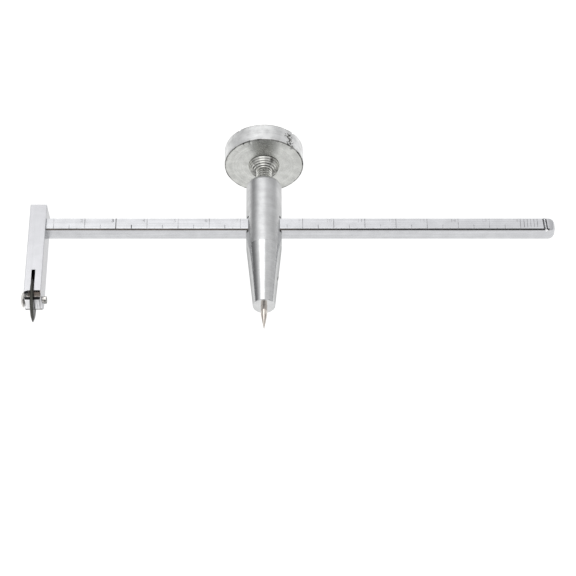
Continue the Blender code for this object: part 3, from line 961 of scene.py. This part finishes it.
def make_post(materials):
    """The turned body. Its finish is coarser above FINE_FINISH_START, and its nose is faced bright."""
    outline = [
        (POST_LOW.y, 0),
        (POST_LOW.y, post_radius(POST_LOW.y) - 0.02),
        (TAPER_START, POST_RADIUS),
        (POST_HIGH.y, POST_RADIUS),
        (POST_HIGH.y, 0),
    ]
    profile = fillet(outline, (NOSE_ROUND, TAPER_ROUND, SHOULDER_ROUND), 8)
    coarse_start = next(i for i, point in enumerate(profile) if point[0] > FINE_FINISH_START)
    profile.insert(coarse_start, Vector((FINE_FINISH_START, post_radius(FINE_FINISH_START))))

    def finish(number):
        if number == 0:
            return 2
        return 1 if number < coarse_start else 0

    bm = revolve(profile, "Y", 144, slots=finish)
    finishes = [materials[name] for name in ("post", "taper", "nose")]
    post = finish_piece("centre_post", bm, finishes, body="post", stands_for="post")
    cut(post, window_cutter(materials))
    cut(post, relief_cutter(materials))
    cut(post, post_bore_cutter(materials))
    sharpen(post, 28)


def make_pin(materials):
    outline = [
        (PIN_LOW.y, 0),
        (PIN_LOW.y, PIN_TIP_RADIUS),
        (PIN_CONE_START, PIN_RADIUS),
        (PIN_HIGH.y, PIN_RADIUS),
        (PIN_HIGH.y, 0),
    ]
    bm = revolve(fillet(outline, (0.03, 1.0, 0.2), 6), "Y", 72)
    finish_piece("point_pin", bm, [materials["pin"]], (0, 0, 0), 30, "post", "centre_pin")


def make_grub_screw(materials):
    """Headless screw with a thread and a hexagonal socket."""
    inner, outer = GRUB_LOW.x, GRUB_HIGH.x

    def thread(place, radius, angle):
        if radius < GRUB_RADIUS - 0.01 or place > outer - 0.3 or place < inner + 0.5:
            return place, radius
        phase = (place / GRUB_PITCH - angle / math.tau) % 1
        return place, radius - GRUB_THREAD_HEIGHT * abs(2 * phase - 1)

    start, end = inner + 0.4, outer - 0.15
    rings = [(start + (end - start) * i / GRUB_RINGS, GRUB_RADIUS) for i in range(GRUB_RINGS + 1)]
    profile = [(inner, 0), (inner, GRUB_RADIUS - 0.4), *rings, (outer, GRUB_RADIUS - 0.15), (outer, 0)]
    bm = revolve(profile, "X", 48, thread)
    black, place = [materials["black_steel_and_shade"]], (0, GRUB_Y, 0)
    screw = finish_piece("grub_screw", bm, black, place, 30, "post", "pin_set_screw")
    bm = bmesh.new()
    add_rod(bm, outer - HEX_DEPTH, outer + 1, HEX_WIDTH / math.sqrt(3), "X", 6)
    cut(screw, finish_piece("hex_cutter", bm, black, place))
    sharpen(screw, 30)


# ---------------------------------------------------------------- plug, screw and knob


def make_plug(materials):
    low, high, radius = PLUG_LOW.y, PLUG_HIGH.y, PLUG_HIGH.x
    profile = fillet([(low, 0), (low, radius), (high, radius), (high, 0)], (0.25, 0.25), 4)
    bm = revolve(profile, "Y", 64)
    finish_piece("brass_plug", bm, [materials["brass"]], (0, 0, 0), 30, "plug", "pressure_plug")


def make_clamp_screw(materials):
    """Right-hand thread, then the stepped hub and the collar, then the spigot."""
    collar_top = KNOB_LOW.y - SEAT_GAP
    collar_bottom = collar_top - COLLAR_THICKNESS
    hub_start = collar_bottom + HUB_PROFILE[0][0]
    root = THREAD_RADIUS - THREAD_HEIGHT

    def thread(place, radius, angle):
        """A trapezoid wave that climbs one pitch a turn and fades in from the root at the tip."""
        if abs(radius - THREAD_RADIUS) > 0.001 or place > hub_start:
            return place, radius
        phase = (place / THREAD_PITCH - angle / math.tau) % 1
        wave = min(1.0, max(0.0, 3.0 * (1 - abs(2 * phase - 1)) - 0.6))
        fade = min(1.0, (place - THREAD_START) / THREAD_PITCH)
        return place, THREAD_RADIUS - THREAD_HEIGHT * (1 - wave * max(0.0, fade))

    length = hub_start - THREAD_START
    count = round(length / THREAD_PITCH * RINGS_A_PITCH)
    stud = [(SCREW_LOW.y, 0), (SCREW_LOW.y, root - 0.35)]
    stud += [(THREAD_START + length * i / count, THREAD_RADIUS) for i in range(count + 1)]
    hub = [(collar_bottom + rise, radius) for rise, radius, _ in HUB_PROFILE]
    # the hub stretches flagged in HUB_PROFILE take the dark material, painted shade
    painted_shade_steps = {len(stud) + i for i, point in enumerate(HUB_PROFILE) if point[2]}
    top = [
        (collar_top - 0.1, COLLAR_RADIUS),
        (collar_top, COLLAR_RADIUS - 0.1),
        (collar_top, SPIGOT_RADIUS),
        (SCREW_HIGH.y, SPIGOT_RADIUS),
        (SCREW_HIGH.y, 0),
    ]
    bm = revolve(stud + hub + top, "Y", 96, thread, lambda number: int(number in painted_shade_steps))
    bmesh.ops.remove_doubles(bm, verts=bm.verts, dist=1e-5)
    # thread valleys take the dark material, painted shade; the rest takes the lighter colour, painted
    # highlight
    for face in bm.faces:
        middle = face.calc_center_median()
        if middle.y < hub_start:
            valley = math.hypot(middle.x, middle.z) < root + 0.16
            face.material_index = 1 if valley else 2
    finishes = [materials[name] for name in ("screw", "edge", "thread")]
    finish_piece("clamp_stud", bm, finishes, (0, 0, 0), 34, "knob", "clamp_screw")


def knob_dents():
    """Knocks on the knob: (angle in degrees from the top, place along Y, width, depth)."""
    bottom, top = KNOB_LOW.y, KNOB_HIGH.y
    dents = [
        (46, bottom + 0.3, 0.9, 0.42),
        (43, bottom + 1.7, 0.5, 0.25),
        (40.5, bottom + 3.0, 0.75, 0.35),
        (37, bottom + 4.2, 0.6, 0.28),
        (33, bottom + 5.4, 0.5, 0.2),
        (41, bottom + 5.6, 0.45, 0.2),
        (-22, bottom, 0.6, 0.30),
        (-32, bottom, 0.5, 0.22),
        (-78, bottom, 0.6, 0.25),
        (47, top, 1.0, 0.35),
        (-38, top, 0.8, 0.25),
    ]
    rng = random.Random(3)
    for _ in range(22):
        degrees, place = rng.gauss(39, 4.0), bottom + rng.uniform(0.2, 6.0)
        for step in range(4):
            dents.append((degrees + step * 0.7, place + step * rng.uniform(-0.25, 0.25), 0.32, 0.17))
    for _ in range(26):
        place = rng.choice((bottom, bottom, top))
        dents.append((rng.uniform(0, 360), place, rng.uniform(0.25, 0.6), rng.uniform(0.05, 0.16)))
    return dents


def knock_maker():
    """The function that pushes the knob's rim and its edges in at each dent."""
    bottom, top = KNOB_LOW.y, KNOB_HIGH.y
    span, sectors = math.radians(8), 45
    near = {}
    for degrees, along, width, depth in knob_dents():
        centre = math.radians(degrees) % math.tau
        for step in range(-1, 2):
            near.setdefault((int(centre / span) + step) % sectors, []).append((centre, along, width, depth))

    def knocked(place, radius, angle):
        if radius < KNOB_RADIUS - 1.2:
            return place, radius
        push = 0.0
        for centre, along, width, depth in near.get(int(angle / span) % sectors, ()):
            turn = (angle - centre + math.pi) % math.tau - math.pi
            distance = math.hypot(turn * KNOB_RADIUS, place - along) / width
            if distance < 1:
                push += depth * (1 - distance**2) ** 2
        lift = push * 0.6 if place < bottom + KNOB_EDGE * 1.5 else 0.0
        drop = push * 0.6 if place > top - KNOB_EDGE * 1.5 else 0.0
        return place + lift - drop, radius - push

    return knocked


def knob_profile():
    """The knob's outline from its bore round to its back, and where its soiled edge, its rim and its
    back begin."""
    bottom, top = KNOB_LOW.y, KNOB_HIGH.y
    bore_end = SCREW_HIGH.y + 0.3
    face_end = KNOB_RADIUS - KNOB_EDGE
    radii = [KNOB_BORE + (face_end - KNOB_BORE) * i / KNOB_FACE_RINGS for i in range(1, KNOB_FACE_RINGS)]
    radii += [face_end - inset for inset in KNOB_EDGE_INSETS]
    bore = [Vector((bore_end, 0)), Vector((bore_end, KNOB_BORE)), Vector((bottom, KNOB_BORE))]
    face = [Vector((bottom, radius)) for radius in sorted(radii)]
    edge = fillet([(bottom, KNOB_BORE), (bottom, KNOB_RADIUS), (top, KNOB_RADIUS)], (KNOB_EDGE,), 4)[1:-1]
    rim = []
    for i in range(1, KNOB_RIM_RINGS):
        place = bottom + KNOB_EDGE + (top - bottom - 2 * KNOB_EDGE) * i / KNOB_RIM_RINGS
        rim.append(Vector((place, KNOB_RADIUS)))
    countersink = [(top, 1.6), (top - 0.9, 0)]
    back = fillet([(bottom, KNOB_RADIUS), (top, KNOB_RADIUS), *countersink], (KNOB_EDGE, 0.1), 4)[1:]
    edge_start = len(bore) + len(face) - 1
    rim_start = edge_start + len(edge) - 1
    return bore + face + edge + rim + back, (edge_start, rim_start, rim_start + len(rim) + 1)


def make_knob(materials):
    """The knob disc, with painted shade on its lower edge, and its deeper knocks coloured dark."""
    profile, (edge_start, rim_start, back_start) = knob_profile()

    def finish(number):
        if edge_start <= number < rim_start:
            return 2
        return 1 if rim_start <= number < back_start else 0

    bm = revolve(profile, "Y", KNOB_SIDES, knock_maker(), finish)
    for face in bm.faces:
        middle = face.calc_center_median()
        if face.material_index == 1 and math.hypot(middle.x, middle.z) < KNOB_RADIUS - DARK_KNOCK_DEPTH:
            face.material_index = 2
    finishes = [materials[name] for name in ("knob_face", "knob_rim", "edge")]
    finish_piece("knob_disc", bm, finishes, (0, 0, 0), 36, "knob", "knob")


# ---------------------------------------------------------------- camera, light and floor


def make_camera():
    camera = bpy.data.cameras.new("camera")
    camera.sensor_width = SENSOR_WIDTH
    camera.lens = LENS_LENGTH
    camera.shift_x = SHIFT_X
    camera.clip_start, camera.clip_end = 0.01, 20
    obj = bpy.data.objects.new("camera", camera)
    bpy.context.collection.objects.link(obj)
    back = Vector((0, -math.sin(CAMERA_TILT), math.cos(CAMERA_TILT)))
    right = Vector((1, 0, 0))
    turn = Matrix.Rotation(-CAMERA_LIFT, 3, right)
    pose = Matrix((right, turn @ back.cross(right), turn @ back)).transposed().to_4x4()
    pose.translation = CROSSING + back * CAMERA_DISTANCE
    obj.matrix_world = pose
    bpy.context.scene.camera = obj


def make_light():
    """One large soft light straight above the tool."""
    light = bpy.data.lights.new("overhead", "AREA")
    light.shape = "RECTANGLE"
    light.size, light.size_y = LIGHT_SIZE
    light.energy = LIGHT_STRENGTH * LIGHT_SIZE[0] * LIGHT_SIZE[1]
    obj = bpy.data.objects.new("overhead", light)
    bpy.context.collection.objects.link(obj)
    obj.location = CROSSING + LIGHT_PLACE
    obj.rotation_euler = Vector((0, 0, -1)).to_track_quat("-Z", "Y").to_euler()


def make_world():
    """A pale room, lighter above, with the soft dark and bright areas that the metal mirrors."""
    world = bpy.data.worlds.new("studio")
    world.use_nodes = True
    bpy.context.scene.world = world
    tree = world.node_tree
    graph = Graph(tree)
    way = graph.add("ShaderNodeTexCoord").outputs["Generated"]
    height = graph.add("ShaderNodeSeparateXYZ", Vector=way).outputs["Z"]
    colour = graph.tint(graph.ramp(height, 0.0, 0.8, 0.0, 1.0), ROOM_LEVEL, ROOM_ABOVE)
    for direction, core, outer, shade in MIRRORED_AREAS:
        dot = graph.add("ShaderNodeVectorMath", {"operation": "DOT_PRODUCT"})
        graph.feed(dot.inputs[0], way)
        dot.inputs[1].default_value = Vector(direction).normalized()
        far, near = math.cos(math.radians(outer)), math.cos(math.radians(core))
        share = graph.ramp(dot.outputs["Value"], far, near, 0.0, 1.0)
        colour = graph.mix(share, colour, (*shade, 1.0))
    graph.feed(tree.nodes["Background"].inputs["Color"], colour)


def make_floor():
    """A large white table that gives off a little light of its own."""
    bm = bmesh.new()
    bmesh.ops.create_circle(bm, cap_ends=True, segments=64, radius=FLOOR_RADIUS)
    mesh = bpy.data.meshes.new("floor")
    bm.to_mesh(mesh)
    bm.free()
    material = bpy.data.materials.new("lit_white_table")
    material.use_nodes = True
    graph = Graph(material.node_tree)
    shader = material.node_tree.nodes["Principled BSDF"]
    place = graph.add("ShaderNodeTexCoord").outputs["Object"]
    tone = graph.tint(graph.noise(place, 3.0, 2.0), (0.16, 0.16, 0.16), (0.18, 0.18, 0.18))
    graph.feed(shader.inputs["Base Color"], tone)
    shader.inputs["Roughness"].default_value = 0.7
    shader.inputs["Emission Color"].default_value = (1.0, 1.0, 1.0, 1.0)
    shader.inputs["Emission Strength"].default_value = FLOOR_GLOW
    mesh.materials.append(material)
    floor = bpy.data.objects.new("floor", mesh)
    bpy.context.collection.objects.link(floor)


def make_stage():
    bpy.context.scene.view_settings.view_transform = "Standard"
    make_camera()
    make_world()
    make_floor()
    make_light()


def main():
    make_stage()
    materials = make_materials()
    make_beam(materials)
    make_arm(materials)
    make_cross_pin(materials)
    make_axle(materials)
    make_wheel(materials)
    make_post(materials)
    make_pin(materials)
    make_grub_screw(materials)
    make_plug(materials)
    make_clamp_screw(materials)
    make_knob(materials)


main()
